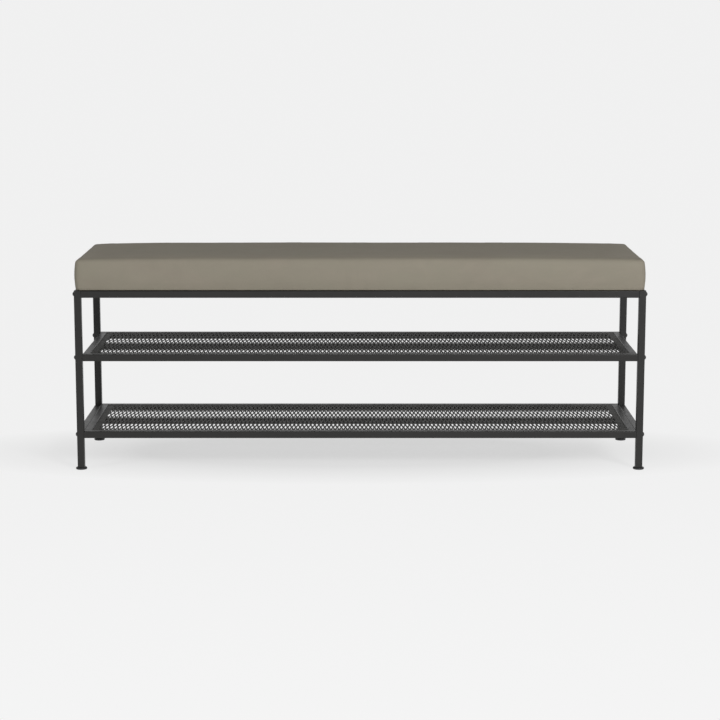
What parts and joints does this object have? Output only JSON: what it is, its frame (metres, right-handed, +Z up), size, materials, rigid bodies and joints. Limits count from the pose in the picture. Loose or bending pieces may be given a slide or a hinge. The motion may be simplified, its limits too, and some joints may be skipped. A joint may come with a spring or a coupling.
{
  "type": "entryway bench",
  "caption": "Long upholstered bench on a square-tube steel frame, with two diamond-mesh shoe shelves under the seat and screw-in levelling feet.",
  "frame": {"origin": "on the floor, under the middle of the bench", "axes": "+Z up, +X along the bench's length to the right as seen from the front, front towards -Y"},
  "size_m": [1.229, 0.333, 0.4604],
  "materials": {
    "powder_coated_steel": "satin",
    "mesh_sheet": "satin",
    "zinc_steel": "satin",
    "black_bolts": "satin",
    "black_plastic": "matte",
    "plywood": "matte",
    "foam": "matte",
    "wadding": "matte",
    "seat_cover_leather": "satin",
    "dust_cloth": "matte"
  },
  "bodies": {
    "root": {"leg_front_left": "powder_coated_steel", "leg_front_right": "powder_coated_steel", "leg_rear_left": "powder_coated_steel", "leg_rear_right": "powder_coated_steel", "leg_top_plugs": "black_plastic", "leg_foot_nuts": "zinc_steel", "upper_end_tube_left": "powder_coated_steel", "upper_end_tube_right": "powder_coated_steel", "lower_end_tube_left": "powder_coated_steel", "lower_end_tube_right": "powder_coated_steel", "seat_rail_front": "powder_coated_steel", "seat_rail_rear": "powder_coated_steel", "seat_side_rail_left": "powder_coated_steel", "seat_side_rail_right": "powder_coated_steel", "seat_cross_bar_left": "powder_coated_steel", "seat_cross_bar_right": "powder_coated_steel", "upper_shelf_rail_front": "powder_coated_steel", "upper_shelf_rail_rear": "powder_coated_steel", "upper_shelf_side_rail_left": "powder_coated_steel", "upper_shelf_side_rail_right": "powder_coated_steel", "upper_shelf_stiffener": "powder_coated_steel", "upper_shelf_mesh": "mesh_sheet", "lower_shelf_rail_front": "powder_coated_steel", "lower_shelf_rail_rear": "powder_coated_steel", "lower_shelf_side_rail_left": "powder_coated_steel", "lower_shelf_side_rail_right": "powder_coated_steel", "lower_shelf_stiffener": "powder_coated_steel", "lower_shelf_mesh": "mesh_sheet", "seat_rail_inserts": "zinc_steel", "upper_shelf_inserts": "zinc_steel", "lower_shelf_inserts": "zinc_steel", "seat_frame_bolts": "black_bolts", "upper_shelf_bolts": "black_bolts", "lower_shelf_bolts": "black_bolts", "seat_board": "plywood", "seat_foam": "foam", "seat_wadding": "wadding", "seat_cover": "seat_cover_leather", "seat_dust_cover": "dust_cloth", "cover_staples": "zinc_steel", "seat_tee_nuts": "zinc_steel", "seat_screws": "zinc_steel"},
    "pad_front_left": {"foot_pad_front_left": "black_plastic"},
    "stud_front_left": {"foot_stud_front_left": "zinc_steel"},
    "pad_front_right": {"foot_pad_front_right": "black_plastic"},
    "stud_front_right": {"foot_stud_front_right": "zinc_steel"},
    "pad_rear_left": {"foot_pad_rear_left": "black_plastic"},
    "stud_rear_left": {"foot_stud_rear_left": "zinc_steel"},
    "pad_rear_right": {"foot_pad_rear_right": "black_plastic"},
    "stud_rear_right": {"foot_stud_rear_right": "zinc_steel"}
  },
  "joints": [
    {"name": "foot_travel_front_left", "type": "slide", "parent": "root", "child": "pad_front_left", "axis": [0, 0, -1], "range_m": [0, 0.01]},
    {"name": "foot_turn_front_left", "type": "hinge", "parent": "pad_front_left", "child": "stud_front_left", "pos_m": [-0.6025, -0.1545, 0.002], "axis": [0, 0, -1], "range_deg": [0, 2880]},
    {"name": "foot_travel_front_right", "type": "slide", "parent": "root", "child": "pad_front_right", "axis": [0, 0, -1], "range_m": [0, 0.01]},
    {"name": "foot_turn_front_right", "type": "hinge", "parent": "pad_front_right", "child": "stud_front_right", "pos_m": [0.6025, -0.1545, 0.002], "axis": [0, 0, -1], "range_deg": [0, 2880]},
    {"name": "foot_travel_rear_left", "type": "slide", "parent": "root", "child": "pad_rear_left", "axis": [0, 0, -1], "range_m": [0, 0.01]},
    {"name": "foot_turn_rear_left", "type": "hinge", "parent": "pad_rear_left", "child": "stud_rear_left", "pos_m": [-0.6025, 0.1545, 0.002], "axis": [0, 0, -1], "range_deg": [0, 2880]},
    {"name": "foot_travel_rear_right", "type": "slide", "parent": "root", "child": "pad_rear_right", "axis": [0, 0, -1], "range_m": [0, 0.01]},
    {"name": "foot_turn_rear_right", "type": "hinge", "parent": "pad_rear_right", "child": "stud_rear_right", "pos_m": [0.6025, 0.1545, 0.002], "axis": [0, 0, -1], "range_deg": [0, 2880]}
  ],
  "couplings": [
    {"joint": "foot_turn_front_left", "follows": "foot_travel_front_left", "rad_per_m": 5026.5},
    {"joint": "foot_turn_front_right", "follows": "foot_travel_front_right", "rad_per_m": 5026.5},
    {"joint": "foot_turn_rear_left", "follows": "foot_travel_rear_left", "rad_per_m": 5026.5},
    {"joint": "foot_turn_rear_right", "follows": "foot_travel_rear_right", "rad_per_m": 5026.5}
  ]
}
